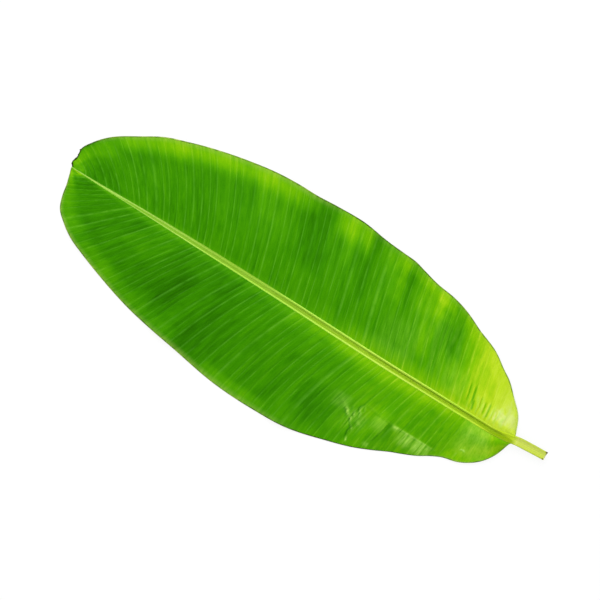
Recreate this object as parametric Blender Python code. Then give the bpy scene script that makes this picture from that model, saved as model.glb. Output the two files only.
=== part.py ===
"""A banana leaf, cut from the plant and laid on a table with its upper side up.

The leaf is one solid. Its blade is a thin waved sheet pleated along the side veins, its
midrib has a channel above and a round keel below, and its stalk is a short cut stub.
Every point of the sheet is named by two numbers: how far along the midrib its side vein
starts, and how far out along that vein the point lies.

The part stands on Z = 0 with +X from the stalk to the tip and +Z towards the upper side.
The origin is the middle of the leaf's bounding box, on the surface that it lies on. The
left half is the one at +Y.
"""

import math

import bmesh
import bpy
import numpy as np

MM = 0.001

# Driving dimensions. X runs from the foot of the blade.
BLADE_LENGTH = 801 * MM
STALK_LENGTH = 56 * MM
SHEET_THICKNESS = 0.8 * MM

# The blade's margins, from the foot of the blade to its tip, as (x, y) in millimetres.
LEFT_MARGIN = (
    (0, 8), (11, 37), (25, 55), (41, 67), (71, 80.5), (97, 91), (130, 110), (174, 128),
    (203, 143), (247, 155.5), (300, 168.5), (365, 172.5), (438, 169.5), (526, 156),
    (615, 140), (690, 118), (735, 100.5), (764, 81), (783, 61), (790, 44), (795, 24), (801, 1),
)
RIGHT_MARGIN = (
    (0, -8), (11, -33), (34, -57.5), (62, -81), (92, -101), (130, -117.5), (172, -135.5),
    (195, -140), (255, -151), (330, -160.5), (375, -165.5), (438, -162.5), (475, -164),
    (530, -161), (600, -147), (675, -127.5), (735, -97), (775, -70.5), (793, -52),
    (804, -30), (802, -19), (805, -6), (801, -1),
)

# Measures of the midrib and the stalk at stations along X, in millimetres.
MIDRIB_SWING = ((-57, -3.2), (0, -0.5), (60, 3.5), (150, 5.6), (300, 4.6), (460, 1.4), (620, 0), (801, 0))
RIB_HALF_WIDTH = (
    (-57, 8.2), (0, 8.4), (60, 6.5), (150, 5.8), (330, 5.8), (480, 5), (640, 3.5), (740, 1.9), (801, 0.8),
)
RIB_DEPTH = ((-57, 12.5), (0, 12.6), (200, 10.6), (400, 7.6), (600, 4.8), (750, 2.8), (801, 2))
CHANNEL_DEPTH = ((-57, 2.6), (0, 3.6), (80, 4.6), (300, 3), (500, 1.5), (700, 0.4), (801, 0))

# Side veins are pleats of the sheet. A vein ends further along the margin than it starts along
# the midrib: its lead is in thousandths of the margin. Its bow is towards the stalk.
VEINS_PER_SIDE = 64
ROWS_PER_VEIN = 2
LAST_ROW = VEINS_PER_SIDE * ROWS_PER_VEIN
PLEAT_HEIGHT = 0.45 * MM
PLEAT_RISE = 0.25
PLEAT_FADE = 0.15
PLEAT_EDGE_ANGLE = math.radians(9)
LEFT_LEAD = ((0, 0), (80, 34), (240, 44), (330, 56), (420, 58), (550, 47), (650, 50), (730, 48), (801, 0))
RIGHT_LEAD = ((0, 0), (60, 56), (120, 84), (220, 70), (300, 57), (400, 50), (560, 42), (720, 32), (801, 0))
LEFT_BOW = ((0, 0), (100, 3), (801, 3))
RIGHT_BOW = ((0, 0), (120, -8), (210, -1), (320, 4), (480, 6), (801, 5))

# How far out along a vein the sheet is divided, and across the midrib from edge to edge.
SHEET_STEPS = (0.13, 0.28, 0.42, 0.56, 0.7, 0.85, 1.0)
KEEL_FLAT = 0.2
RIB_STEPS = (-1.0, -0.8, -0.5, -KEEL_FLAT, KEEL_FLAT, 0.5, 0.8, 1.0)
STALK_ROWS = 6

# The lie of the sheet: it rises from the midrib to a low arch, then falls to a margin that lies level.
ARCH_HEIGHT = 6 * MM
ARCH_PEAK = 1 / 3
ARCH_FROM_FOOT = 0.1
MARGIN_HEIGHT = 1.3 * MM

# The midrib's upper side has a ridge along each edge of its channel.
RIDGE_HEIGHT = 0.8 * MM
RIDGE_PLACE = 0.8
RIDGE_SPREAD = 0.18

# Swells run out along the veins to the margin: (station on the midrib, half-length, height) in mm.
LEFT_SWELLS = ((20, 40, 5), (279, 24, 6), (476, 30, 8), (650, 36, 5), (760, 25, 3))
RIGHT_SWELLS = (
    (30, 45, 9), (148, 25, 8), (243, 22, 7), (315, 22, 8), (430, 36, 8), (592, 40, 6), (720, 30, 4),
)
SWELL_POWER = 2.0

# Near the stalk the left half is folded down along a line level with the midrib.
FOLD_FROM_MIDRIB = 77 * MM
FOLD_OPENS = (60, 100)
FOLD_CLOSES = (165, 245)
FOLD_SLOPE = 0.34

LEAF_GREEN = (0.10, 0.30, 0.01, 1.0)
LEAF_ROUGHNESS = 0.42
MERGE_DISTANCE = 1e-6


class Curve:
    """A smooth curve through (x, y) points given in millimetres."""

    def __init__(self, points):
        self.xs, self.ys = (np.array(column, float) * MM for column in zip(*points))
        self.slopes = np.gradient(self.ys, self.xs)

    def at(self, x):
        """The curve's y at x, both in metres."""
        x = min(max(x, self.xs[0]), self.xs[-1])
        i = min(int(np.searchsorted(self.xs, x, side="right")) - 1, len(self.xs) - 2)
        span = self.xs[i + 1] - self.xs[i]
        t = (x - self.xs[i]) / span
        near = (1 + 2 * t) * (1 - t) ** 2 * self.ys[i] + t * (1 - t) ** 2 * span * self.slopes[i]
        far = t * t * (3 - 2 * t) * self.ys[i + 1] - t * t * (1 - t) * span * self.slopes[i + 1]
        return near + far


class Margin:
    """One edge of the blade, read by the share of its length from the foot to the tip."""

    def __init__(self, points, samples=900):
        knots = np.array(points, float)
        along = np.concatenate([[0], np.cumsum(np.linalg.norm(np.diff(knots, axis=0), axis=1))])
        curves = [Curve(list(zip(along, knots[:, axis]))) for axis in (0, 1)]
        reads = np.linspace(0, along[-1] * MM, samples)
        self.points = np.array([[curve.at(read) for curve in curves] for read in reads])
        steps = np.linalg.norm(np.diff(self.points, axis=0), axis=1)
        self.shares = np.concatenate([[0], np.cumsum(steps)]) / steps.sum()

    def at(self, share):
        """The point at a share of the margin's length."""
        return np.array([np.interp(share, self.shares, self.points[:, axis]) for axis in (0, 1)])


LEFT = 1
RIGHT = -1
MARGINS = {LEFT: Margin(LEFT_MARGIN), RIGHT: Margin(RIGHT_MARGIN)}
LEADS = {LEFT: Curve(LEFT_LEAD), RIGHT: Curve(RIGHT_LEAD)}
BOWS = {LEFT: Curve(LEFT_BOW), RIGHT: Curve(RIGHT_BOW)}
SWELLS = {LEFT: LEFT_SWELLS, RIGHT: RIGHT_SWELLS}
SWING = Curve(MIDRIB_SWING)
HALF_WIDTH = Curve(RIB_HALF_WIDTH)
DEPTH = Curve(RIB_DEPTH)
CHANNEL = Curve(CHANNEL_DEPTH)


def soft_step(x, low, high):
    """0 below low, 1 above high, and a smooth rise between them."""
    t = min(max((x - low) / (high - low), 0), 1)
    return t * t * (3 - 2 * t)


def vein_ends(side, x):
    """The plan points where the side vein that starts at x leaves the midrib and meets the margin."""
    root = np.array([x, SWING.at(x) + side * HALF_WIDTH.at(x)])
    return root, MARGINS[side].at(x / BLADE_LENGTH + LEADS[side].at(x))


def swell(side, x, out):
    """The height of the swells at a point of the sheet."""
    height = sum(top * math.exp(-(((x / MM - place) / spread) ** 2)) for place, spread, top in SWELLS[side])
    return height * MM * out**SWELL_POWER


def lie(side, x, out):
    """The height of the sheet without its fold: an arch that falls to the margin, and the swells."""
    fall = MARGIN_HEIGHT + (DEPTH.at(x) - MARGIN_HEIGHT) * (1 + math.cos(math.pi * out)) / 2
    arch = out * (1 - out) ** 2 / (ARCH_PEAK * (1 - ARCH_PEAK) ** 2)
    along = math.sin(math.pi * min(1, x / BLADE_LENGTH + ARCH_FROM_FOOT))
    return fall + ARCH_HEIGHT * along * arch + swell(side, x, out)


def folded_lie(x, y, root_y, margin_y):
    """The height of the folded part: level out to the fold line, then straight down to the margin."""
    crest = MARGIN_HEIGHT + FOLD_SLOPE * max(0, margin_y - FOLD_FROM_MIDRIB)
    inner = DEPTH.at(x) + (crest - DEPTH.at(x)) * (y - root_y) / (FOLD_FROM_MIDRIB - root_y)
    outer = MARGIN_HEIGHT + FOLD_SLOPE * (margin_y - y)
    return min(inner, outer)


def pleat(row, out):
    """The zigzag of the side veins, which fades at the midrib and at the margin."""
    sign = 1 if row % ROWS_PER_VEIN else -1
    return sign * PLEAT_HEIGHT * min(1, out / PLEAT_RISE, (1 - out) / PLEAT_FADE)


def sheet_top(side, row, out):
    """A point on the upper face of the sheet."""
    x = row / LAST_ROW * BLADE_LENGTH
    root, end = vein_ends(side, x)
    bow = np.array([BOWS[side].at(x) * 4 * out * (1 - out), 0])
    plan = root + (end - root) * out - bow
    z = lie(side, x, out)
    if side == LEFT:
        folded = soft_step(x / MM, *FOLD_OPENS) * (1 - soft_step(x / MM, *FOLD_CLOSES))
        z += folded * (folded_lie(x, plan[1], root[1], end[1]) - z)
    return plan[0], plan[1], z + pleat(row, out)


def rib_top(x, across):
    """A point on the midrib's upper face: a channel between two ridges."""
    ridge = RIDGE_HEIGHT * math.exp(-(((abs(across) - RIDGE_PLACE) / RIDGE_SPREAD) ** 2))
    ridge *= DEPTH.at(x) / DEPTH.at(0)
    channel = CHANNEL.at(x) * math.cos(math.pi / 2 * min(1, abs(across) / RIDGE_PLACE)) ** 2
    return x, SWING.at(x) + across * HALF_WIDTH.at(x), DEPTH.at(x) + ridge - channel


def rib_under(x, across):
    """A point on the keel, which is round but for a narrow flat where it lies on the table."""
    share = max(0, abs(across) - KEEL_FLAT) / (1 - KEEL_FLAT)
    rise = (DEPTH.at(x) - SHEET_THICKNESS) * (1 - math.sqrt(1 - share * share))
    return x, SWING.at(x) + across * HALF_WIDTH.at(x), rise


def columns():
    """The columns from the left margin to the right one, as (side, place), with side 0 on the rib."""
    left = [(LEFT, out) for out in reversed(SHEET_STEPS)]
    rib = [(0, across) for across in reversed(RIB_STEPS)]
    right = [(RIGHT, out) for out in SHEET_STEPS]
    return left + rib + right


def leaf_point(row, column, under):
    """A point of the leaf's skin. The sheet has no width on the stalk, rows up to 0, or in the last row."""
    side, place = column
    if side == 0 or row <= 0 or row == LAST_ROW:
        x = max(row, 0) / LAST_ROW * BLADE_LENGTH + min(row, 0) / STALK_ROWS * STALK_LENGTH
        across = place if side == 0 else side
        return rib_under(x, across) if under else rib_top(x, across)
    x, y, z = sheet_top(side, row, place)
    return x, y, z - SHEET_THICKNESS if under else z


def build_leaf():
    """The leaf's mesh: a grid shaped into the upper skin, then extruded into the lower one."""
    rows = range(-STALK_ROWS, LAST_ROW + 1)
    names = columns()
    bm = bmesh.new()
    row_of = bm.verts.layers.int.new("row")
    column_of = bm.verts.layers.int.new("column")
    bmesh.ops.create_grid(bm, x_segments=len(rows) - 1, y_segments=len(names) - 1, size=1)
    for vert in bm.verts:
        vert[row_of] = rows[round((vert.co.x + 1) / 2 * (len(rows) - 1))]
        vert[column_of] = round((1 - vert.co.y) / 2 * (len(names) - 1))
        vert.co = leaf_point(vert[row_of], names[vert[column_of]], under=False)
    bmesh.ops.remove_doubles(bm, verts=bm.verts, dist=MERGE_DISTANCE)
    bmesh.ops.triangulate(bm, faces=bm.faces)
    lower = bmesh.ops.extrude_face_region(bm, geom=bm.faces[:])["geom"]
    for vert in (item for item in lower if isinstance(item, bmesh.types.BMVert)):
        vert.co = leaf_point(vert[row_of], names[vert[column_of]], under=True)
    bmesh.ops.recalc_face_normals(bm, faces=bm.faces)
    return bm


def centre_over_origin(bm):
    """Moves the leaf so that the middle of its bounding box is over the origin."""
    places = np.array([vert.co for vert in bm.verts])
    middle = (places.min(axis=0) + places.max(axis=0)) / 2
    bmesh.ops.translate(bm, verts=bm.verts, vec=(-middle[0], -middle[1], 0))


def leaf_material():
    """The fresh green of the upper side."""
    material = bpy.data.materials.new("leaf_green")
    material.use_nodes = True
    shader = material.node_tree.nodes["Principled BSDF"]
    shader.inputs["Base Color"].default_value = LEAF_GREEN
    shader.inputs["Roughness"].default_value = LEAF_ROUGHNESS
    shader.inputs["Metallic"].default_value = 0.0
    return material


def main():
    """Clears the scene and adds the leaf."""
    for old in list(bpy.data.objects):
        bpy.data.objects.remove(old)
    bm = build_leaf()
    centre_over_origin(bm)
    mesh = bpy.data.meshes.new("banana_leaf")
    bm.to_mesh(mesh)
    bm.free()
    mesh.materials.append(leaf_material())
    mesh.shade_smooth()
    mesh.set_sharp_from_angle(angle=PLEAT_EDGE_ANGLE)
    bpy.context.scene.collection.objects.link(bpy.data.objects.new("banana_leaf", mesh))


main()
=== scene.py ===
"""The looks of a banana leaf that was cut from its plant and laid down with its upper side up.

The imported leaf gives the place, the size and the body. The pieces here repeat its form with a fine
surface: the two halves of the blade with their side veins, folds and ripples, the midrib with its
channel and stalk, the cut face of the stalk, the thin dry margins, and the dried nubs at the tip.

A point of a half is named by its station, which is where its side vein leaves the midrib, and by
how far out along that vein it lies. Stations run from the foot of the blade at 0 to its tip.
"""

import logging
import math
from collections.abc import Sequence
from dataclasses import dataclass
from enum import Enum

import bmesh
import bpy
import numpy as np
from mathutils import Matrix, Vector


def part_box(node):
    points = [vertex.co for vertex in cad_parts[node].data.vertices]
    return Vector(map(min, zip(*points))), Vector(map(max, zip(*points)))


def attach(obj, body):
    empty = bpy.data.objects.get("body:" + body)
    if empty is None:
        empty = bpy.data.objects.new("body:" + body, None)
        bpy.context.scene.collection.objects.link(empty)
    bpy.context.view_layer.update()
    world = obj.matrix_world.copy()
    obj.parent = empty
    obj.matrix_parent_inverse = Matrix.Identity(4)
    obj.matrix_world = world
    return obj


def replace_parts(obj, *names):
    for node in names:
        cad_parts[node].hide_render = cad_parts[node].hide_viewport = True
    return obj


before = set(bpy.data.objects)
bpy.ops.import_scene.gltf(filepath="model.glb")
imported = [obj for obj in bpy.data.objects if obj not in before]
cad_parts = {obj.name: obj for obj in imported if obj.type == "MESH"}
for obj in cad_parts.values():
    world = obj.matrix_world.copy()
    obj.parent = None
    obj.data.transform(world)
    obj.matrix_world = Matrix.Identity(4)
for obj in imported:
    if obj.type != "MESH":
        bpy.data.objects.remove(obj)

MM = 0.001
NODE = "banana_leaf"
BODY = "root"
MERGE_DISTANCE = 1e-6
LOG = logging.getLogger("leaf")

Pair = tuple[float, float]
Points = Sequence[Pair]
Colour = tuple[float, float, float]
Stops = Sequence[tuple[float, Colour]]


class Side(Enum):
    """The two halves of the blade, by the sign of their Y."""

    LEFT = 1
    RIGHT = -1


class ZoneAxes(Enum):
    """What the two reaches of a zone are measured along."""

    VEINS = "station in millimetres, and share of the side vein"
    PLAN = "distance from the foot and from the chord, both in millimetres"


def soft_step(value: np.ndarray, low: float, high: float) -> np.ndarray:
    """Rises smoothly from 0 to 1.

    Args:
        value: what is measured.
        low: where the rise starts.
        high: where it ends.

    Returns:
        0 below low, 1 above high.
    """
    share = np.clip((value - low) / (high - low), 0, 1)
    return share * share * (3 - 2 * share)


class Curve:
    """A smooth curve through (x, y) points given in millimetres."""

    def __init__(self, points: Points) -> None:
        """Keeps the points in metres, and finds the slopes at them."""
        self.xs, self.ys = (np.array(column, float) * MM for column in zip(*points))
        self.slopes = np.gradient(self.ys, self.xs)

    def at(self, x: np.ndarray) -> np.ndarray:
        """Reads the curve.

        Args:
            x: where to read it, in metres.

        Returns:
            The curve's y there, in metres.
        """
        x = np.clip(x, self.xs[0], self.xs[-1])
        i = np.clip(np.searchsorted(self.xs, x, side="right") - 1, 0, len(self.xs) - 2)
        span = self.xs[i + 1] - self.xs[i]
        t = (x - self.xs[i]) / span
        near = (1 + 2 * t) * (1 - t) ** 2 * self.ys[i] + t * (1 - t) ** 2 * span * self.slopes[i]
        far = t * t * (3 - 2 * t) * self.ys[i + 1] - t * t * (1 - t) * span * self.slopes[i + 1]
        return near + far


class Margin:
    """One edge of the blade, read by the share of its length from the foot to the tip."""

    def __init__(self, points: Points, samples: int = 900) -> None:
        """Resamples the edge evenly along its own length."""
        knots = np.array(points, float)
        along = np.concatenate([[0], np.cumsum(np.linalg.norm(np.diff(knots, axis=0), axis=1))])
        reads = np.linspace(0, along[-1] * MM, samples)
        curves = [Curve(list(zip(along, knots[:, axis]))) for axis in (0, 1)]
        self.x, self.y = (curve.at(reads) for curve in curves)
        steps = np.hypot(np.diff(self.x), np.diff(self.y))
        self.shares = np.concatenate([[0], np.cumsum(steps)]) / steps.sum()

    def at(self, share: np.ndarray) -> tuple[np.ndarray, np.ndarray]:
        """The x and y of the points at these shares of the margin's length."""
        return np.interp(share, self.shares, self.x), np.interp(share, self.shares, self.y)


class Grain:
    """Smooth seeded noise along a line, from -1 to 1, with a knot at each whole number."""

    def __init__(self, seed: int, knots: int = 1024) -> None:
        """Draws the values at the knots."""
        self.values = np.random.default_rng(seed).uniform(-1, 1, knots)

    def at(self, t: np.ndarray) -> np.ndarray:
        """The noise at t, in knots."""
        whole = np.floor(t).astype(int)
        part = soft_step(t - whole, 0, 1)
        count = len(self.values)
        return self.values[whole % count] * (1 - part) + self.values[(whole + 1) % count] * part


@dataclass(frozen=True)
class Zone:
    """A part of one half with soft borders.

    It fades in between the first two numbers of each reach and out between the last two.
    """

    along: tuple[float, float, float, float]
    across: tuple[float, float, float, float]
    amount: float
    axes: ZoneAxes = ZoneAxes.VEINS

    def weight(self, spots: "Spots") -> np.ndarray:
        """The zone's amount at each spot."""
        pair = (spots.x / MM, spots.out)
        if self.axes is ZoneAxes.PLAN:
            pair = (spots.plan_x / MM, np.abs(spots.plan_y) / MM)
        total = np.full(len(spots.x), self.amount)
        for value, (rise, top, fall, end) in zip(pair, (self.along, self.across)):
            total *= soft_step(value, rise, top) * (1 - soft_step(value, fall, end))
        return total


@dataclass(frozen=True)
class Swell:
    """A swell that runs out along the veins to the margin, in millimetres."""

    station: float
    spread: float
    height: float


@dataclass(frozen=True)
class Ripples:
    """Short waves pressed into the sheet, their height in millimetres.

    Their crests are given a painted highlight, and their troughs painted shade.
    """

    zone: Zone
    per_vein: float
    height: float
    painted_highlight: float
    seed: int
    sharpness: float = 1.0
    shade: float = 0.0


@dataclass(frozen=True)
class Crease:
    """A sharp crease in the sheet: its route in plan and its sizes, in millimetres.

    Its ridge is given a painted highlight and, by lift, painted light. The trough beside it is given painted
    shade.
    """

    route: Points
    height: float
    flank: float
    painted_highlight: float = 0.5
    shade: float = 0.12
    fade: float = 8
    lift: float = 0.0


@dataclass
class Spots:
    """Points of a half: station, way out, place in plan in metres, and the painted highlight and painted
    shade that their relief puts on the skin.
    """

    x: np.ndarray
    out: np.ndarray
    plan_x: np.ndarray
    plan_y: np.ndarray
    painted_highlight: np.ndarray
    shade: np.ndarray


@dataclass(frozen=True)
class HalfShape:
    """What sets one half of the blade apart from the other, by station.

    A vein ends further along the margin than it starts along the midrib: its lead is in thousandths of
    the margin. Its bow is towards the stalk.
    """

    side: Side
    margin: Points
    lead: Points
    bow: Points
    swells: tuple[Swell, ...]
    ripples: tuple[Ripples, ...]
    creases: tuple[Crease, ...]
    folds: bool
    seed: int


LEFT_HALF = HalfShape(
    side=Side.LEFT,
    margin=(
        (0, 9), (11, 38), (24, 56), (39, 68), (52, 75), (80, 83), (96, 91), (110, 99.5),
        (134, 110.5), (150, 117), (176, 129.5), (204, 141.5), (246, 154.5), (300, 168),
        (365, 172.5), (438, 170), (526, 155.5), (615, 139.5), (672, 122.5), (717, 106),
        (745, 94), (766, 80), (783, 64), (790, 46), (794, 24), (801, 2),
    ),
    lead=(
        (0, 0), (80, 36), (150, 52), (215, 62), (280, 61), (340, 56), (525, 56), (650, 52), (730, 48),
        (801, 0),
    ),
    bow=((0, 0), (80, 0), (150, -4), (215, -6), (340, -6), (525, -3), (650, 0), (801, 3)),
    swells=(Swell(20, 40, 5), Swell(279, 24, 6), Swell(476, 30, 8), Swell(650, 36, 5), Swell(760, 25, 3)),
    ripples=(
        Ripples(
            Zone((95, 101, 140, 168), (77, 79, 90, 106), 1.0, ZoneAxes.PLAN),
            per_vein=1.42, height=0.5, painted_highlight=0.66, seed=11, sharpness=0.35, shade=0.12,
        ),
        Ripples(
            Zone((148, 158, 167, 171), (77, 79, 82, 88), 1.0, ZoneAxes.PLAN),
            per_vein=1.42, height=0.3, painted_highlight=0.6, seed=11, sharpness=0.3, shade=0.08,
        ),
        Ripples(
            Zone((202, 212, 240, 262), (78, 90, 112, 130), 1.0, ZoneAxes.PLAN),
            per_vein=2.1, height=0.3, painted_highlight=0.1, seed=12,
        ),
    ),
    creases=(
        Crease(((218, 139), (219.5, 136), (221, 132)), 0.7, 1.1, 0.9, 0.05, 3),
        Crease(((221, 132), (223, 124), (222, 117)), 0.6, 1.1, 0.08, 0.16, 5),
        Crease(((220, 119), (222, 115), (226, 111)), 0.8, 1.2, 0.75, 0.1, 3),
        Crease(((225, 112), (228, 108), (231, 102)), 0.6, 1.1, 0.1, 0.14, 4),
        Crease(((228, 107), (230, 104), (232, 102)), 0.7, 1.1, 0.75, 0.08, 2),
        Crease(((235, 102), (239, 98), (242, 94), (245, 91)), 1.0, 1.9, 0.85, 0.12, 3),
        Crease(((243, 96), (250, 89), (258, 82)), 0.5, 3.2, 0.16, 0.03, 6),
        Crease(((211, 107), (216, 105), (220, 101)), 0.4, 2.2, 0.22, 0.03, 4),
        Crease(((226, 100), (229, 96), (230, 90)), 0.7, 1.2, 0.6, 0.12, 4),
        Crease(((219, 97), (221, 93), (220, 88)), 0.6, 1.1, 0.35, 0.1, 4),
        Crease(((220, 91), (224, 87), (225, 83), (223, 77)), 0.7, 1.3, 0.5, 0.12, 4),
        Crease(((216, 86), (218, 82), (221, 74)), 0.5, 1.2, 0.2, 0.07, 4),
        Crease(((236, 96), (234, 90), (236, 84)), 0.4, 1.3, 0.06, 0.08, 4),
        Crease(((92, 78.8), (120, 78.6), (171, 78.4)), 0.5, 1.15, 0.34, 0.06, 30),
        Crease(((158, 79), (164, 80), (170, 80)), 0.3, 2.0, 0.6, 0.0, 4),
        Crease(((172, 78), (200, 75.5), (224, 72)), 0.3, 1.6, 0.05, 0.03),
        Crease(((177, 78), (180, 92), (184, 108), (188, 122)), 0.5, 1.3, 0.06, 0.05),
        Crease(((52.5, 57.5), (55, 55.3), (58, 55.3), (60.5, 57.5)), 0.4, 1.1, 0.9, 0.06, 2),
        Crease(((62, 63), (63.5, 67), (62.5, 71)), 0.3, 1.0, 0.25, 0.02, 3),
    ),
    folds=True,
    seed=3,
)
RIGHT_HALF = HalfShape(
    side=Side.RIGHT,
    margin=(
        (0, -9.5), (11, -33.5), (33, -56), (54, -75.5), (66, -83), (92, -101), (130, -116.5),
        (160, -129.5), (190, -138), (225, -143.5), (253, -150.5), (270, -154.5), (290, -156),
        (330, -159.5), (375, -165), (420, -164), (456, -161.5), (485, -161.5), (530, -159),
        (560, -154.5), (600, -146.5), (640, -136), (668, -127), (700, -116), (735, -96.5),
        (775, -69.5), (792, -50.5), (803.3, -31), (802.3, -19), (804.6, -6), (801, -1),
    ),
    lead=(
        (0, 0), (60, 50), (120, 61), (200, 60), (280, 50), (340, 44), (460, 37), (590, 40), (720, 32),
        (801, 0),
    ),
    bow=((0, 0), (100, -1), (160, -3), (280, -2), (340, 1), (460, 4), (590, 7), (801, 5)),
    swells=(
        Swell(30, 45, 9), Swell(148, 25, 8), Swell(243, 22, 7), Swell(315, 22, 8),
        Swell(430, 36, 8), Swell(592, 40, 6), Swell(720, 30, 4),
    ),
    ripples=(
        Ripples(
            Zone((20, 30, 78, 96), (2, 6, 20, 36), 1.0, ZoneAxes.PLAN),
            per_vein=1.5, height=0.5, painted_highlight=0.4, seed=21, sharpness=1.3,
        ),
        Ripples(
            Zone((98, 128, 198, 238), (0.05, 0.2, 0.6, 0.9), 1.0),
            per_vein=1.1, height=0.25, painted_highlight=0.06, seed=22,
        ),
    ),
    creases=(
        Crease(((27, -13), (36, -17), (44, -20)), 0.3, 2.4, 0.0, 0.0, 5, 0.07),
        Crease(((24, -20), (34, -23), (46, -26)), 0.3, 2.0, 0.0, 0.0, 5, 0.05),
        Crease(((45, -21), (43, -13), (42, -5)), 0.5, 1.4, 0.0, 0.07, 4, 0.05),
        Crease(((51, -24), (50, -15), (49, -8)), 0.5, 1.3, 0.0, 0.07, 4, 0.04),
        Crease(((60, -29), (58.5, -16), (57, -4)), 0.6, 1.5, 0.0, 0.16, 5, 0.11),
        Crease(((68, -27), (66, -16), (64, -5)), 0.6, 1.5, 0.0, 0.13, 5, 0.09),
        Crease(((77, -32), (74, -20), (72, -10)), 0.6, 1.4, 0.0, 0.13, 5, 0.07),
        Crease(((86, -20), (84, -12), (82, -3)), 0.6, 1.6, 0.0, 0.17, 4, 0.06),
        Crease(((94, -42), (90, -24), (87, -9)), 0.6, 1.6, 0.0, 0.14, 7, 0.08),
        Crease(((103, -44), (99, -27), (96, -10)), 0.5, 1.5, 0.0, 0.08, 8, 0.06),
    ),
    folds=False,
    seed=5,
)


@dataclass
class LeafShape:
    """The form of the whole leaf, in metres, measured from the foot of the blade."""

    blade_length: float = 801 * MM
    stalk_length: float = 56 * MM
    thickness: float = 0.8 * MM
    swing: Curve = Curve((
        (-57, -3.6), (-24, -1.8), (-6, -0.3), (8, 2.6), (25, 5.2), (60, 6.0), (95, 6.1), (155, 5.9),
        (230, 5.7), (310, 4.3), (400, 2.4), (495, 1.0), (590, 0.25), (680, 0.1), (756, 0.5), (801, 0),
    ))
    half_width: Curve = Curve((
        (-57, 7.0), (-6, 7.2), (8, 6.8), (25, 6.0), (60, 6.0), (95, 6.1), (230, 6.2), (310, 6.1),
        (400, 5.8), (495, 5.3), (590, 4.5), (660, 3.5), (725, 2.2), (765, 1.3), (801, 0.7),
    ))
    depth: Curve = Curve(((-57, 12.5), (0, 12.6), (200, 10.6), (400, 7.6), (600, 4.8), (750, 2.8), (801, 2)))
    channel: Curve = Curve((
        (-57, 1.6), (0, 1.8), (30, 2.6), (80, 4.2), (300, 3), (500, 1.5), (700, 0.4), (801, 0),
    ))
    arch_height: float = 6 * MM
    arch_peak: float = 1 / 3
    arch_from_foot: float = 0.1
    margin_height: float = 1.3 * MM
    ridge_height: float = 0.8 * MM
    ridge_place: float = 0.8
    ridge_spread: float = 0.18
    keel_flat: float = 0.2
    cut_depth: float = 1.5 * MM
    shift: Pair = (0.0, 0.0)

    def place_on(self, low: Sequence[float], high: Sequence[float]) -> None:
        """Finds the shift from the blade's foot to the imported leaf's frame.

        Args:
            low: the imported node's lowest corner.
            high: its highest corner.
        """
        highest = Margin(LEFT_HALF.margin).y.max()
        self.shift = (low[0] + self.stalk_length, high[1] - highest)

    def placed(self, x: np.ndarray | float, y: np.ndarray | float) -> tuple[np.ndarray | float, ...]:
        """The x and y of a place on the blade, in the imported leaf's frame."""
        return x + self.shift[0], y + self.shift[1]

    def narrowing(self, x: np.ndarray) -> np.ndarray:
        """How deep the midrib is, as a share of its depth at the foot."""
        return self.depth.at(x) / self.depth.at(np.zeros(1))

    def rib_top(self, x: np.ndarray, across: np.ndarray) -> np.ndarray:
        """The height of the midrib's upper face: a channel between two ridges."""
        aside = (np.abs(across) - self.ridge_place) / self.ridge_spread
        ridge = self.ridge_height * np.exp(-(aside**2)) * self.narrowing(x)
        inner = np.minimum(1, np.abs(across) / self.ridge_place)
        return self.depth.at(x) + ridge - self.channel.at(x) * np.cos(math.pi / 2 * inner) ** 2

    def rib_under(self, x: np.ndarray, across: np.ndarray) -> np.ndarray:
        """The height of the keel, which is round but for the narrow flat that it lies on."""
        share = np.maximum(0, np.abs(across) - self.keel_flat) / (1 - self.keel_flat)
        return (self.depth.at(x) - self.thickness) * (1 - np.sqrt(np.maximum(0, 1 - share * share)))

    def rib_y(self, x: np.ndarray, across: np.ndarray | float) -> np.ndarray:
        """The y of a point of the midrib."""
        return self.swing.at(x) + across * self.half_width.at(x)


class Socket:
    """A node's output, or a number, that takes part in shader maths written as Python expressions."""

    def __init__(self, graph: "Graph", link: bpy.types.NodeSocket) -> None:
        """Wraps one output socket."""
        self.graph = graph
        self.link = link

    def _maths(self, operation: str, *values: "Socket | float") -> "Socket":
        """Adds a Math node with these values."""
        return self.graph.node("ShaderNodeMath", {"operation": operation}, dict(enumerate(values)))

    def __add__(self, other: "Socket | float") -> "Socket":
        """Self plus other."""
        return self._maths("ADD", self, other)

    __radd__ = __add__

    def __sub__(self, other: "Socket | float") -> "Socket":
        """Self minus other."""
        return self._maths("SUBTRACT", self, other)

    def __rsub__(self, other: "Socket | float") -> "Socket":
        """Other minus self."""
        return self._maths("SUBTRACT", other, self)

    def __mul__(self, other: "Socket | float") -> "Socket":
        """Self times other."""
        return self._maths("MULTIPLY", self, other)

    __rmul__ = __mul__

    def distance_to_whole(self) -> "Socket":
        """How far this value is from the nearest whole number, from 0 to 0.5."""
        return self._maths("PINGPONG", self, 0.5)

    def whole(self) -> "Socket":
        """The whole number below this value."""
        return self._maths("FLOOR", self)

    def fraction(self) -> "Socket":
        """What this value has beyond the whole number below it."""
        return self._maths("FRACT", self)

    def rise(self, low: float, high: float) -> "Socket":
        """A smooth rise from 0 at low to 1 at high."""
        settings = {"interpolation_type": "SMOOTHSTEP"}
        sockets = {"Value": self, "From Min": low, "From Max": high}
        return self.graph.node("ShaderNodeMapRange", settings, sockets)

    def fall(self, low: float, high: float) -> "Socket":
        """A smooth fall from 1 at low to 0 at high."""
        return 1 - self.rise(low, high)

    def above(self, floor: float) -> "Socket":
        """This value, which goes from 0 to 1, squeezed to go from the floor to 1."""
        return floor + (1 - floor) * self

    def bump_at(self, middle: float, reach: float) -> "Socket":
        """1 where this value is at the middle, falling smoothly to 0 at the reach on both sides."""
        return self.rise(middle - reach, middle) * self.fall(middle, middle + reach)


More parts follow.
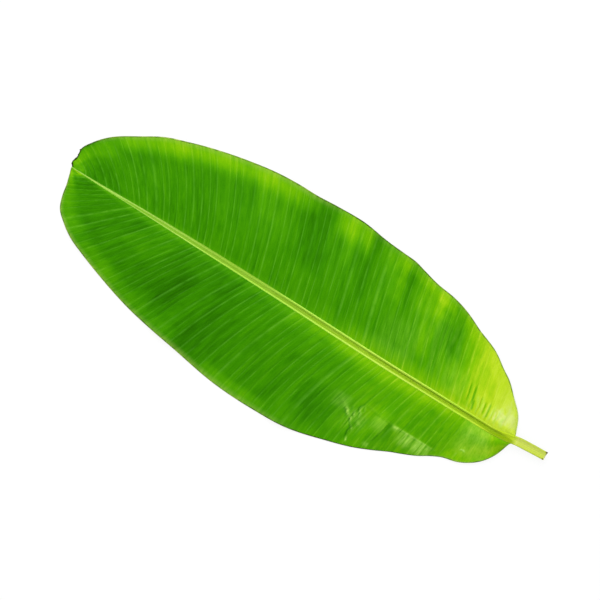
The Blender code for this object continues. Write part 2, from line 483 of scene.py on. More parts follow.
@dataclass(frozen=True)
class Streaks:
    """Noise drawn out along the side veins.

    It changes this often from vein to vein and along a vein, has this much detail, and lightens the skin
    by this much.
    """

    across: float
    along: float
    detail: float
    light: float


class Graph:
    """The node tree of a material or of the surround, with its shader."""

    def __init__(self, owner: bpy.types.Material | bpy.types.World, shader: str = "Principled BSDF") -> None:
        """Turns on the nodes of the material or the surround."""
        self.owner = owner
        owner.use_nodes = True
        self.tree = owner.node_tree
        self.shader = self.tree.nodes[shader]

    def node(self, kind: str, settings: dict, sockets: dict, output: int | str = 0) -> Socket:
        """Adds a node.

        Args:
            kind: the node's type.
            settings: its own properties, which are set first. A ramp's stops are given as "stops".
            sockets: the values or links of its inputs, by name or number.
            output: which output is wanted.

        Returns:
            The wrapped output.
        """
        made = self.tree.nodes.new(kind)
        for key, value in settings.items():
            if key == "stops":
                self._set_stops(made.color_ramp, value)
            else:
                setattr(made, key, value)
        for key, value in sockets.items():
            self.join(value, made.inputs[key])
        return Socket(self, made.outputs[output])

    def join(self, value: "Socket | float | Sequence[float]", target: bpy.types.NodeSocket) -> None:
        """Links a wrapped output to a socket, or sets the socket's own value."""
        if isinstance(value, Socket):
            self.tree.links.new(value.link, target)
        else:
            target.default_value = value

    def _set_stops(self, ramp: bpy.types.ColorRamp, stops: Stops) -> None:
        """Gives a ramp its stops."""
        while len(ramp.elements) < len(stops):
            ramp.elements.new(1.0)
        for element, (place, colour) in zip(ramp.elements, stops):
            element.position = place
            element.color = (*colour, 1)

    def attribute(self, name: str) -> tuple[Socket, Socket, Socket]:
        """The three numbers of a vector attribute of the mesh."""
        source = self.node("ShaderNodeAttribute", {"attribute_name": name}, {}, "Vector")
        return tuple(self.node("ShaderNodeSeparateXYZ", {}, {0: source}, part) for part in "XYZ")

    def line_noise(self, place: Socket, scale: float, detail: float = 0.0) -> Socket:
        """Noise along one number, about 0.5 in the middle."""
        sockets = {"W": place, "Scale": scale, "Detail": detail}
        return self.node("ShaderNodeTexNoise", {"noise_dimensions": "1D"}, sockets)

    def sheet_noise(self, x: Socket, y: Socket, detail: float = 2.0) -> Socket:
        """Noise over a plane given by two numbers."""
        plane = self.node("ShaderNodeCombineXYZ", {}, {"X": x, "Y": y})
        sockets = {"Vector": plane, "Scale": 1.0, "Detail": detail}
        return self.node("ShaderNodeTexNoise", {"noise_dimensions": "2D"}, sockets)

    def streaked(self, phase: Socket, out: Socket, streaks: Streaks) -> Socket:
        """Streaks along the side veins, about 0 in the middle."""
        return self.sheet_noise(phase * streaks.across, out * streaks.along, streaks.detail) - 0.5

    def tone_of(self, number: Socket) -> Socket:
        """A tone from 0 to 1 that differs from one number to the next."""
        return self.node("ShaderNodeTexWhiteNoise", {"noise_dimensions": "1D"}, {"W": number})

    def object_noise(self, scale: float) -> Socket:
        """Noise over the object's own coordinates, which are in metres."""
        place = self.node("ShaderNodeTexCoord", {}, {}, "Object")
        return self.node("ShaderNodeTexNoise", {}, {"Vector": place, "Scale": scale, "Detail": 3.0})

    def blend(self, share: Socket, first: "Socket | Colour", second: "Socket | Colour") -> Socket:
        """Mixes two colours, which a Mix node takes at its inputs 6 and 7 and gives at its output 2."""
        settings = {"data_type": "RGBA"}
        ends = [(*end, 1) if isinstance(end, tuple) else end for end in (first, second)]
        return self.node("ShaderNodeMix", settings, {0: share, 6: ends[0], 7: ends[1]}, 2)

    def ramp(self, level: Socket, stops: Stops) -> Socket:
        """The colour of a ramp at a level."""
        return self.node("ShaderNodeValToRGB", {"stops": stops}, {"Fac": level})

    def raise_by(self, height: Socket) -> None:
        """Feeds a height in millimetres through a Bump node to the shader's normal."""
        bump = self.node("ShaderNodeBump", {}, {"Height": height, "Distance": MM, "Strength": 1.0})
        self.join(bump, self.shader.inputs["Normal"])

    def set(self, **values: "Socket | float | Sequence[float]") -> None:
        """Sets or links the shader's sockets, whose names are given with underscores."""
        for name, value in values.items():
            self.join(value, self.shader.inputs[name.replace("_", " ")])


# How much darker the skins are than they look under the studio's light.
SKIN_SHARE = 0.64


def skin(red: float, green: float, blue: float) -> Colour:
    """A skin colour from how it looks in daylight.

    Args:
        red: from 0 to 255, as on a screen.
        green: likewise.
        blue: likewise.

    Returns:
        The linear colour that the shader takes.
    """
    parts = []
    for part in (red, green, blue):
        share = part / 255
        linear = share / 12.92 if share <= 0.04045 else ((share + 0.055) / 1.055) ** 2.4
        parts.append(linear * SKIN_SHARE)
    return tuple(parts)


@dataclass(frozen=True)
class BladeSkin:
    """The blade's skin: greens from deep to pale lime, lighter side veins, painted sheen, a paler underside.
    """

    greens: Stops = (
        (0.30, skin(28, 84, 0)),
        (0.40, skin(48, 127, 0)),
        (0.46, skin(61, 147, 1)),
        (0.55, skin(84, 170, 3)),
        (0.65, skin(117, 194, 3)),
        (0.72, skin(148, 210, 12)),
        (0.83, skin(195, 232, 34)),
        (0.92, skin(216, 243, 70)),
        (1.0, skin(232, 250, 132)),
    )
    # Painted sheen: the pale lime laid where the blade would catch the light's reflection.
    painted_sheen: Colour = skin(186, 244, 96)
    vein_pale: Colour = skin(158, 212, 112)
    rim_pale: Colour = skin(176, 206, 92)
    under_green: Colour = skin(122, 156, 78)
    under_bloom: Colour = skin(152, 180, 118)
    under_vein: Colour = skin(168, 190, 112)
    vein_width: float = 0.14
    vein_light: float = 0.052
    vein_at_root: float = 1.25
    vein_loss: float = 0.5
    weakest_vein: float = 0.45
    weakest_stretch: float = 0.3
    youngest_vein: float = 0.35
    young_veins: Pair = (2.0, 7.5)
    vein_paleness: float = 0.08
    fine_veins: float = 3.0
    fine_width: float = 0.16
    fine_light: float = 0.034
    # How much painted light and shade falls across each panel between veins.
    pleat_shading_light: float = 0.02
    panel_light: float = 0.01
    broad: Streaks = Streaks(0.45, 1.2, 1.0, 0.07)
    streaks: Streaks = Streaks(2.1, 3.2, 3.0, 0.125)
    threads: Streaks = Streaks(9, 9, 2.0, 0.08)
    rim_share: float = 0.45
    painted_sheen_share: float = 0.85
    bloom_share: float = 0.45
    hair_scale: float = 21.0
    hair_relief: float = 0.025
    scratch_scale: float = 260.0
    scratch_relief: float = 0.02
    scratch_roughness: float = 0.16
    sheen_smoothness: float = 0.08
    under_roughness: float = 0.25
    vein_relief: float = 0.12
    roughness: float = 0.38
    gloss: float = 0.01

    def make(self, name: str) -> bpy.types.Material:
        """Builds the material."""
        graph = Graph(bpy.data.materials.new(name))
        phase, out, rim = graph.attribute("vein")
        level, painted_sheen, under = graph.attribute("paint")
        uneven = graph.line_noise(phase, 0.83, 1.0).rise(0.3, 0.7).above(self.weakest_vein)
        broken = graph.sheet_noise(phase * 0.8, out * 7).rise(0.3, 0.62).above(self.weakest_stretch)
        grown = phase.rise(*self.young_veins).above(self.youngest_vein)
        strength = uneven * broken * grown * (self.vein_at_root - self.vein_loss * out)
        veins = phase.distance_to_whole().fall(0, self.vein_width) * strength
        fine_phase = phase * self.fine_veins
        fine_strength = graph.line_noise(fine_phase, 0.71).rise(0.35, 0.7)
        fine = fine_phase.distance_to_whole().fall(0, self.fine_width) * fine_strength * broken
        # Painted light and shade across each panel between veins, as the pleats' flanks would catch the
        # light.
        pleat_shading = (phase.fraction() - 0.5) * strength
        panel = graph.tone_of(phase.whole()) - 0.5
        broad, streaks, threads = (
            graph.streaked(phase, out, kind) for kind in (self.broad, self.streaks, self.threads)
        )
        lit = level + veins * self.vein_light + fine * self.fine_light + pleat_shading * self.pleat_shading_light
        lit = lit + panel * self.panel_light + broad * self.broad.light
        lit = lit + streaks * self.streaks.light + threads * self.threads.light
        upper = graph.blend(veins * self.vein_paleness, graph.ramp(lit, self.greens), self.vein_pale)
        upper = graph.blend(rim * (self.rim_share + streaks), upper, self.rim_pale)
        # Painted sheen over the greens where the surface would reflect the light, broken up by the streaks.
        upper = graph.blend(painted_sheen * (self.painted_sheen_share + streaks * 1.4 + threads * 1.6), upper, self.painted_sheen)
        bloom = self.bloom_share + streaks * 0.9 + broad * 0.6 + panel * 0.3
        lower = graph.blend(bloom, self.under_green, self.under_bloom)
        lower = graph.blend(veins * 0.8 + fine * 0.5, lower, self.under_vein)
        scratches = graph.object_noise(self.scratch_scale)
        rough = self.roughness + (scratches - 0.5) * self.scratch_roughness
        graph.set(
            Base_Color=graph.blend(under, upper, lower),
            Roughness=rough - painted_sheen * self.sheen_smoothness + under * self.under_roughness,
            Specular_IOR_Level=self.gloss,
        )
        hairs = graph.line_noise(phase, self.hair_scale, 2.0) * self.hair_relief
        graph.raise_by(hairs + scratches * self.scratch_relief - veins * self.vein_relief)
        return graph.owner


@dataclass(frozen=True)
class RibSkin:
    """The skin of midrib and stalk: two bright ridges, an olive channel with a line of painted shade in its
    groove, and a pale keel.

    Across, a place goes from -1 at the right edge to 1 at the left one. Along, it is a share of the
    blade's length from the foot, and is below 0 on the stalk.
    """

    ridge: Stops = (
        (0.0, skin(212, 238, 62)),
        (0.06, skin(204, 240, 52)),
        (0.12, skin(204, 255, 62)),
        (0.25, skin(214, 255, 90)),
        (0.38, skin(204, 254, 88)),
        (0.5, skin(190, 246, 82)),
        (0.65, skin(178, 236, 72)),
        (0.85, skin(188, 240, 106)),
        (1.0, skin(172, 228, 88)),
    )
    band: Stops = (
        (0.0, skin(156, 188, 8)),
        (0.03, skin(150, 192, 3)),
        (0.07, skin(164, 206, 16)),
        (0.12, skin(178, 222, 28)),
        (0.3, skin(166, 214, 34)),
        (0.5, skin(142, 193, 34)),
        (0.65, skin(136, 190, 38)),
        (0.8, skin(132, 192, 38)),
        (1.0, skin(116, 188, 26)),
    )
    foot: Colour = skin(206, 240, 32)
    # Painted shade for the line in the channel's groove.
    groove: Colour = skin(123, 165, 0)
    stalk: Colour = skin(210, 230, 72)
    stalk_edge: Colour = skin(156, 172, 56)
    stripe: Colour = skin(238, 248, 136)
    keel: Colour = skin(172, 200, 110)
    brown: Colour = skin(96, 78, 36)
    left_ridge: Pair = (0.76, 0.36)
    left_starts: Pair = (0.03, 0.08)
    left_fades: Pair = (0.6, 0.9)
    left_remains: float = 0.4
    right_ridge: Pair = (-0.80, 0.46)
    right_starts: Pair = (0.012, 0.056)
    far_ridge: Pair = (-0.52, 0.40)
    ridge_moves: Pair = (0.46, 0.60)
    merged_ridge: Pair = (-0.15, 0.9)
    ridges_merge: Pair = (0.84, 0.94)
    groove_shade_line: Pair = (-0.34, 0.17)
    groove_starts: Pair = (0.03, 0.1)
    groove_ends: Pair = (0.26, 0.4)
    foot_edge: Pair = (-0.15, 0.4)
    foot_slant: float = 24
    foot_ends: Pair = (0.03, 0.07)
    # Painted light along the stalk's channel, where its wall would shade it.
    stalk_channel_light: Pair = (-0.35, 0.55)
    stalk_left_edge: Pair = (0.78, 0.97)
    stalk_right_edge: Pair = (-1.0, -0.86)
    stalk_ends: Pair = (-0.009, 0.003)
    joint_line: Pair = (-0.0087, 0.0022)
    dried_ends: Pair = (-0.068, -0.064)
    fibre_roughness: float = 0.2
    fibre_relief: float = 0.12
    roughness: float = 0.42
    gloss: float = 0.03

    def make(self, name: str) -> bpy.types.Material:
        """Builds the material."""
        graph = Graph(bpy.data.materials.new(name))
        share, across, under = graph.attribute("rib")
        fibres = graph.sheet_noise(share * 26, across * 7, 3.0) - 0.5
        left = across.bump_at(*self.left_ridge) * share.rise(*self.left_starts)
        left = left * share.fall(*self.left_fades).above(self.left_remains)
        moved = share.rise(*self.ridge_moves)
        near = across.bump_at(*self.right_ridge) * share.rise(*self.right_starts) * (1 - moved)
        right = near + across.bump_at(*self.far_ridge) * moved
        merged = across.bump_at(*self.merged_ridge) * share.rise(*self.ridges_merge)
        # A line of painted shade along the channel's groove.
        dark = across.bump_at(*self.groove_shade_line) * share.fall(*self.groove_ends)
        dark = dark * share.rise(*self.groove_starts)
        band = graph.blend(dark, graph.ramp(share, self.band), self.groove)
        upper = graph.blend((left + right + merged).rise(0.06, 0.7), band, graph.ramp(share, self.ridge))
        foot = (across + share * self.foot_slant).fall(*self.foot_edge) * share.fall(*self.foot_ends)
        upper = graph.blend(foot, upper, self.foot)
        edge = (across.rise(*self.stalk_left_edge) + across.fall(*self.stalk_right_edge) * 0.7) * 0.6
        stripes_and_channel_light = graph.line_noise(across, 3.4, 2.0).rise(0.45, 0.7) * 0.4
        # Painted light along the stalk's channel lifts the shade there; the keel takes part of it too.
        stripes_and_channel_light = stripes_and_channel_light + across.bump_at(*self.stalk_channel_light) * 0.35
        stalk = graph.blend(edge, graph.blend(stripes_and_channel_light, self.stalk, self.stripe), self.stalk_edge)
        dried = share.fall(*self.dried_ends) * (across.rise(0.5, 0.9) + across.fall(-0.9, -0.5) + fibres)
        stalk = graph.blend(dried.rise(0.1, 0.7), stalk, self.brown)
        upper = graph.blend(share.rise(*self.stalk_ends), stalk, upper)
        upper = graph.blend(share.bump_at(*self.joint_line) * 0.5, upper, self.stripe)
        upper = graph.blend(0.03 + fibres * 0.4, upper, self.stripe)
        keel = graph.blend(stripes_and_channel_light * 0.5 + fibres * 0.6, self.keel, self.stripe)
        graph.set(
            Base_Color=graph.blend(under, upper, keel),
            Roughness=self.roughness + fibres * self.fibre_roughness,
            Specular_IOR_Level=self.gloss,
        )
        graph.raise_by(fibres * self.fibre_relief)
        return graph.owner


@dataclass(frozen=True)
class DrySkin:
    """The thin rim and the dried tissue: pale lime where it lives, then olive, brown, and nearly black."""

    steps: Stops = (
        (0.0, skin(214, 236, 124)),
        (0.12, skin(150, 184, 62)),
        (0.3, skin(112, 150, 42)),
        (0.5, skin(68, 104, 24)),
        (0.75, skin(70, 70, 24)),
        (1.0, skin(30, 32, 10)),
    )
    roughness: float = 0.7
    gloss: float = 0.06
    grain_scale: float = 900.0
    grain_tone: float = 0.2
    grain_roughness: float = 0.3
    grain_relief: float = 0.1

    def make(self, name: str) -> bpy.types.Material:
        """Builds the material."""
        graph = Graph(bpy.data.materials.new(name))
        dryness, _, _ = graph.attribute("dry")
        grain = graph.object_noise(self.grain_scale) - 0.5
        graph.set(
            Base_Color=graph.ramp(dryness + grain * self.grain_tone, self.steps),
            Roughness=self.roughness + grain * self.grain_roughness,
            Specular_IOR_Level=self.gloss,
        )
        graph.raise_by(grain * self.grain_relief)
        return graph.owner


@dataclass(frozen=True)
class PithSkin:
    """The cut face of the stalk: pale wet pith between air canals, browned where it has dried."""

    pith: Colour = skin(214, 222, 140)
    canal: Colour = skin(120, 116, 50)
    brown: Colour = skin(84, 62, 30)
    dried_side: Pair = (-1.0, -0.3)
    stain_scale: float = 420.0
    stain_roughness: float = 0.3
    stain_relief: float = 0.3
    roughness: float = 0.5

    def make(self, name: str) -> bpy.types.Material:
        """Builds the material."""
        graph = Graph(bpy.data.materials.new(name))
        sunk, across, _ = graph.attribute("cut")
        stain = graph.object_noise(self.stain_scale)
        colour = graph.blend(sunk, self.pith, self.canal)
        browned = (stain + across.fall(*self.dried_side) * 0.35).rise(0.55, 0.75)
        graph.set(
            Base_Color=graph.blend(browned, colour, self.brown),
            Roughness=self.roughness + (stain - 0.5) * self.stain_roughness,
        )
        graph.raise_by(stain * self.stain_relief)
        return graph.owner


def add_object(name: str, data: bpy.types.ID) -> bpy.types.Object:
    """Adds an object with this mesh, light or camera to the scene."""
    made = bpy.data.objects.new(name, data)
    bpy.context.scene.collection.objects.link(made)
    return made


def finish_mesh(bm: bmesh.types.BMesh, name: str, material: bpy.types.Material) -> bpy.types.Mesh:
    """Turns a finished bmesh, which is freed, into a mesh with this finish."""
    mesh = bpy.data.meshes.new(name)
    bm.to_mesh(mesh)
    bm.free()
    mesh.materials.append(material)
    return mesh


def add_piece(
    bm: bmesh.types.BMesh, name: str, material: bpy.types.Material, sharp_angle: float
) -> bpy.types.Object:
    """Turns a finished bmesh into a piece that rides on the leaf's body.

    Args:
        bm: the mesh, which is freed.
        name: the piece's name.
        material: its finish.
        sharp_angle: edges that turn by more than this many degrees stay sharp.

    Returns:
        The piece.
    """
    mesh = finish_mesh(bm, name, material)
    mesh.shade_smooth()
    mesh.set_sharp_from_angle(angle=math.radians(sharp_angle))
    piece = add_object(name, mesh)
    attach(piece, BODY)
    mesh.calc_loop_triangles()
    LOG.info("%s: %d triangles", name, len(mesh.loop_triangles))
    return piece


def grid_shares(bm: bmesh.types.BMesh, columns: int, rows: int) -> tuple[np.ndarray, np.ndarray]:
    """Fills an empty bmesh with a grid.

    Args:
        bm: the empty mesh.
        columns: how many faces along the first share.
        rows: how many along the second.

    Returns:
        Two shares from 0 to 1 for each vertex.
    """
    bmesh.ops.create_grid(bm, x_segments=columns, y_segments=rows, size=0.5)
    spots = np.array([vert.co[:2] for vert in bm.verts]) + 0.5
    return spots[:, 0], spots[:, 1]


def move_verts(bm: bmesh.types.BMesh, x: np.ndarray, y: np.ndarray, z: np.ndarray) -> None:
    """Puts the vertices at these places."""
    for vert, place in zip(bm.verts, np.column_stack([x, y, z]).tolist()):
        vert.co = place


def mark_verts(bm: bmesh.types.BMesh, name: str, *values: np.ndarray) -> None:
    """Stores three numbers on each vertex as a vector attribute."""
    layer = bm.verts.layers.float_vector.new(name)
    for vert, value in zip(bm.verts, np.column_stack(values).tolist()):
        vert[layer] = value


def thicken(bm: bmesh.types.BMesh, drops: np.ndarray | float, name: str) -> None:
    """Closes a sheet into a solid with a lower skin.

    Args:
        bm: the sheet.
        drops: how far below its upper vertex each lower vertex lies.
        name: the attribute whose third number becomes 1 on the lower skin.
    """
    depth = bm.verts.layers.float.new("depth")
    layer = bm.verts.layers.float_vector[name]
    for vert, drop in zip(bm.verts, np.broadcast_to(drops, len(bm.verts)).tolist()):
        vert[depth] = drop
    lower = bmesh.ops.extrude_face_region(bm, geom=bm.faces[:])["geom"]
    for vert in (item for item in lower if isinstance(item, bmesh.types.BMVert)):
        vert.co.z -= vert[depth]
        vert[layer] = (*vert[layer][:2], 1.0)
    bm.verts.layers.float.remove(depth)
    bmesh.ops.recalc_face_normals(bm, faces=bm.faces)


@dataclass
class BladeHalf:
    """One half of the blade: a thin sheet, pleated along its side veins, with its folds and ripples.

    Pairs of stations are in millimetres, other lengths in metres. A pace is in knots of noise a vein.
    """

    shape: LeafShape
    half: HalfShape
    base_levels: Points
    tone_and_shade_zones: tuple[Zone, ...]
    painted_sheen_zones: tuple[Zone, ...]
    rim: Points
    column_run: Points
    row_run: Points
    columns: int = 800
    rows: int = 60
    tuck: float = 0.008
    veins: int = 64
    spacing: Points = ((0.3, 0.7), (0.12, 1.9))
    pleat_height: float = 0.34 * MM
    pleat_pace: float = 0.55
    fine_pleat: float = 0.06 * MM
    fine_per_vein: int = 3
    fine_pace: float = 1.3
    unevenness: Pair = (0.75, 0.45)
    pleat_rise: float = 0.2
    pleat_fade: float = 0.12
    tip_calm: Pair = (520, 740)
    tip_share: float = 0.35
    rim_reach: Pair = (0.935, 1.0)
    fold_line: float = 77 * MM
    fold_opens: Pair = (60, 100)
    fold_closes: Pair = (158, 186)
    fold_slope: float = 0.325
    fold_round: float = 1.0 * MM
    ripple_bend: float = 0.35
    ripple_trough: Pair = (-0.2, 1.0)
    crease_end: float = 0.15
    trough_place: float = 1.7
    trough_depth: float = 0.6
    clearance: float = 0.05 * MM
    sharp_angle: float = 50

    def __post_init__(self) -> None:
        """Reads the half's curves and draws its noises."""
        self.margin = Margin(self.half.margin)
        self.lead = Curve(self.half.lead)
        self.bow = Curve(self.half.bow)
        self.sign = self.half.side.value
        self.grains = [Grain(self.half.seed + number) for number in range(4)]

    def phase(self, x: np.ndarray) -> np.ndarray:
        """Counts the side veins from the foot, a little unevenly."""
        even = uneven = x / self.shape.blade_length * self.veins
        for grain, (amount, pace) in zip(self.grains, self.spacing):
            uneven = uneven + amount * grain.at(even * pace)
        return uneven

    def strength(self, noise: np.ndarray) -> np.ndarray:
        """How strong a pleat or a ripple is where its noise has this value."""
        middle, swing = self.unevenness
        return middle + swing * noise

    def plan(self, x: np.ndarray, out: np.ndarray) -> tuple[np.ndarray, np.ndarray, np.ndarray]:
        """Where points lie seen from above.

        Args:
            x: their stations.
            out: how far out along their veins they lie.

        Returns:
            Their x and y, and the y of their veins' ends.
        """
        root_y = self.shape.rib_y(x, self.sign)
        share = x / self.shape.blade_length + self.lead.at(x)
        end_x, end_y = self.margin.at(share)
        bowed = self.bow.at(x) * 4 * out * (1 - out)
        return x + (end_x - x) * out - bowed, root_y + (end_y - root_y) * out, end_y

    def lie(self, spots: Spots, end_y: np.ndarray) -> np.ndarray:
        """The height of the sheet without its pleats: an arch, the swells and the fold."""
        shape = self.shape
        x, out = spots.x, np.clip(spots.out, 0, 1)
        depth = shape.depth.at(x)
        fall = shape.margin_height + (depth - shape.margin_height) * (1 + np.cos(math.pi * out)) / 2
        peak = shape.arch_peak * (1 - shape.arch_peak) ** 2
        along = np.sin(math.pi * np.minimum(1, x / shape.blade_length + shape.arch_from_foot))
        z = fall + shape.arch_height * along * out * (1 - out) ** 2 / peak
        for swell in self.half.swells:
            z += swell.height * MM * np.exp(-(((x / MM - swell.station) / swell.spread) ** 2)) * out**2
        if self.half.folds:
            folded = soft_step(x / MM, *self.fold_opens) * (1 - soft_step(x / MM, *self.fold_closes))
            z += folded * (self.folded_lie(spots, end_y, depth) - z)
        return z

    def folded_lie(self, spots: Spots, end_y: np.ndarray, depth: np.ndarray) -> np.ndarray:
        """The height of the folded part: level out to a rounded fold line, then down to the margin."""
        floor = self.shape.margin_height
        crest = floor + self.fold_slope * np.maximum(0, end_y - self.fold_line)
        root_y = self.shape.rib_y(spots.x, self.sign)
        inner = depth + (crest - depth) * (spots.plan_y - root_y) / (self.fold_line - root_y)
        outer = floor + self.fold_slope * (end_y - spots.plan_y)
        return (inner + outer - np.sqrt((inner - outer) ** 2 + self.fold_round**2)) / 2

    def pleats(self, x: np.ndarray, out: np.ndarray) -> np.ndarray:
        """The height of the side veins' pleats, which fade at the midrib, the margin and the tip."""
        phase = self.phase(x)
        wave = -np.cos(2 * math.pi * phase) * self.strength(self.grains[2].at(phase * self.pleat_pace))
        fine = np.cos(2 * math.pi * self.fine_per_vein * phase) * self.grains[3].at(phase * self.fine_pace)
        fade = np.clip(np.minimum(out / self.pleat_rise, (1 - out) / self.pleat_fade), 0, 1)
        fade *= 1 - (1 - self.tip_share) * soft_step(x / MM, *self.tip_calm)
        return (wave * self.pleat_height + fine * self.fine_pleat) * fade

    def ripple(self, spots: Spots) -> np.ndarray:
        """The height of the short ripples, which also paint highlights on their crests and shade in their
        troughs.
        """
        z = np.zeros(len(spots.x))
        phase = self.phase(spots.x)
        for ripples in self.half.ripples:
            grain = Grain(ripples.seed)
            weight = ripples.zone.weight(spots)
            turns = phase * ripples.per_vein + self.ripple_bend * grain.at(phase * 0.8 + spots.out * 5)
            wave = np.abs(np.sin(math.pi * turns)) ** ripples.sharpness * 2 - 1
            part = wave * self.strength(grain.at(phase * 1.1 + 40)) * weight
            z += part * ripples.height * MM
            # Painted highlight on the crests, and painted shade in the troughs.
            spots.painted_highlight += np.maximum(part, 0) * ripples.painted_highlight
            spots.shade += soft_step(-wave, *self.ripple_trough) * weight * ripples.shade
        return z

    def crease(self, spots: Spots) -> np.ndarray:
        """The height of the sharp creases, which also paint highlights on their ridges and shade beside them.
        """
        z = np.zeros(len(spots.x))
        place = np.column_stack([spots.plan_x, spots.plan_y]) / MM
        for crease in self.half.creases:
            route = np.array(crease.route, float)
            lengths = np.linalg.norm(np.diff(route, axis=0), axis=1)
            total = lengths.sum()
            nearest = np.full(len(place), np.inf)
            signed = np.zeros(len(place))
            travelled = np.zeros(len(place))
            for number, (start, end) in enumerate(zip(route[:-1], route[1:])):
                way = (end - start) / lengths[number]
                ahead = np.clip((place - start) @ way, 0, lengths[number])
                gap = place - start - ahead[:, None] * way
                distance = np.linalg.norm(gap, axis=1)
                closer = distance < nearest
                nearest = np.where(closer, distance, nearest)
                turn = np.sign(way[0] * gap[:, 1] - way[1] * gap[:, 0])
                signed = np.where(closer, distance * turn, signed)
                travelled = np.where(closer, lengths[:number].sum() + ahead, travelled)
            fade = np.clip(np.minimum(travelled, total - travelled) / crease.fade + self.crease_end, 0, 1)
            ridge = np.exp(-((signed / crease.flank) ** 2)) * fade
            trough = np.exp(-(((signed - self.trough_place * crease.flank) / crease.flank) ** 2)) * fade
            z += crease.height * MM * (ridge - self.trough_depth * trough)
            # Painted highlight on the ridge, painted light by lift, and painted shade in the trough.
            spots.painted_highlight += ridge * crease.painted_highlight
            spots.shade += trough * crease.shade - ridge * crease.lift
        return z

    def surface(self, x: np.ndarray, out: np.ndarray) -> tuple[np.ndarray, np.ndarray, np.ndarray, Spots]:
        """The points of the upper face, in the blade's own measure.

        Args:
            x: their stations.
            out: how far out along their veins they lie.

        Returns:
            Their x, y and z, and their spots.
        """
        plan_x, plan_y, end_y = self.plan(x, out)
        spots = Spots(x, out, plan_x, plan_y, np.zeros(len(x)), np.zeros(len(x)))
        z = self.lie(spots, end_y) + self.pleats(x, out) + self.ripple(spots) + self.crease(spots)
        lowest = self.shape.thickness + self.clearance
        return plan_x, plan_y, np.maximum(z, lowest), spots

    def paint(self, spots: Spots) -> tuple[np.ndarray, np.ndarray]:
        """How light the skin is at each spot, with its tone and the painted light and shade of the relief,
        and how much painted sheen lies on it.
        """
        # The level takes the painted shade of the relief, and the zone tables add tone and painted light and
        # shade.
        level = np.interp(spots.x / MM, *zip(*self.base_levels)) - spots.shade
        for zone in self.tone_and_shade_zones:
            level += zone.weight(spots)
        # Painted sheen: the painted highlights of the relief, and the sheen tables.
        painted_sheen = spots.painted_highlight + sum(zone.weight(spots) for zone in self.painted_sheen_zones)
        return level, np.clip(painted_sheen, 0, 1)

    def rim_paleness(self, spots: Spots) -> np.ndarray:
        """How pale the last millimetres before the margin are."""
        return np.interp(spots.x / MM, *zip(*self.rim)) * soft_step(spots.out, *self.rim_reach)

    def build(self, name: str, material: bpy.types.Material) -> bpy.types.Object:
        """Makes the half's mesh and piece."""
        bm = bmesh.new()
        first, second = grid_shares(bm, self.columns, self.rows)
        x = np.interp(first, *zip(*self.column_run)) * MM
        inside = (first > 0) & (first < 1)
        out = (np.interp(second, *zip(*self.row_run)) * (1 + self.tuck) - self.tuck) * inside
        plan_x, plan_y, z, spots = self.surface(x, out)
        level, painted_sheen = self.paint(spots)
        mark_verts(bm, "vein", self.phase(x), out, self.rim_paleness(spots))
        mark_verts(bm, "paint", level, painted_sheen, np.zeros(len(x)))
        move_verts(bm, *self.shape.placed(plan_x, plan_y), z)
        bmesh.ops.remove_doubles(bm, verts=bm.verts, dist=MERGE_DISTANCE)
        thicken(bm, self.shape.thickness, "paint")
        return add_piece(bm, name, material, self.sharp_angle)


@dataclass
class Midrib:
    """The midrib and the stalk in one: a channelled upper face with two ridges, and a round keel.

    The dark groove starts between two stations, which are in millimetres.
    """

    shape: LeafShape
    columns: int = 500
    rows: int = 44
    groove_place: float = -0.34
    groove_width: float = 0.12
    groove_depth: float = 0.6 * MM
    groove_starts: Pair = (20, 70)
    sharp_angle: float = 50

    def build(self, name: str, material: bpy.types.Material) -> bpy.types.Object:
        """Makes the midrib's mesh and piece."""
        shape = self.shape
        bm = bmesh.new()
        first, second = grid_shares(bm, self.columns, self.rows)
        start = -shape.stalk_length + shape.cut_depth
        x = start + first * (shape.blade_length - start)
        across = second * 2 - 1
        aside = (across - self.groove_place) / self.groove_width
        groove = self.groove_depth * shape.narrowing(x) * np.exp(-(aside**2))
        top = shape.rib_top(x, across) - groove * soft_step(x / MM, *self.groove_starts)
        mark_verts(bm, "rib", x / shape.blade_length, across, np.zeros(len(x)))
        move_verts(bm, *shape.placed(x, shape.rib_y(x, across)), top)
        thicken(bm, top - shape.rib_under(x, across), "rib")
        return add_piece(bm, name, material, self.sharp_angle)


@dataclass
class CutFace:
    """The cut end of the stalk, with the mouths of its air canals."""

    shape: LeafShape
    columns: int = 18
    rows: int = 7
    wall: float = 0.22 * MM
    sink: float = 1.0 * MM
    rim: float = 0.86
    facing: float = -0.9
    sharp_angle: float = 30

    def build(self, name: str, material: bpy.types.Material) -> bpy.types.Object:
        """Makes the plate and sinks its canals."""
        shape = self.shape
        bm = bmesh.new()
        first, second = grid_shares(bm, self.columns, self.rows)
        across = first * 2 - 1
        x = np.full(len(across), -shape.stalk_length)
        top, under = shape.rib_top(x, across), shape.rib_under(x, across)
        mark_verts(bm, "cut", np.zeros(len(x)), across, np.zeros(len(x)))
        move_verts(bm, *shape.placed(x, shape.rib_y(x, across)), under + (top - under) * second)
        lower = bmesh.ops.extrude_face_region(bm, geom=bm.faces[:])["geom"]
        back = [item for item in lower if isinstance(item, bmesh.types.BMVert)]
        bmesh.ops.translate(bm, verts=back, vec=(shape.cut_depth, 0, 0))
        bmesh.ops.recalc_face_normals(bm, faces=bm.faces)
        layer = bm.verts.layers.float_vector["cut"]
        mouths = [
            face for face in bm.faces
            if face.normal.x < self.facing and max(abs(vert[layer].y) for vert in face.verts) < self.rim
        ]
        bmesh.ops.inset_individual(
            bm, faces=mouths, thickness=self.wall, depth=-self.sink, use_even_offset=True
        )
        for face in mouths:
            for vert in face.verts:
                vert[layer] = (1.0, vert[layer].y, 0.0)
        return add_piece(bm, name, material, self.sharp_angle)


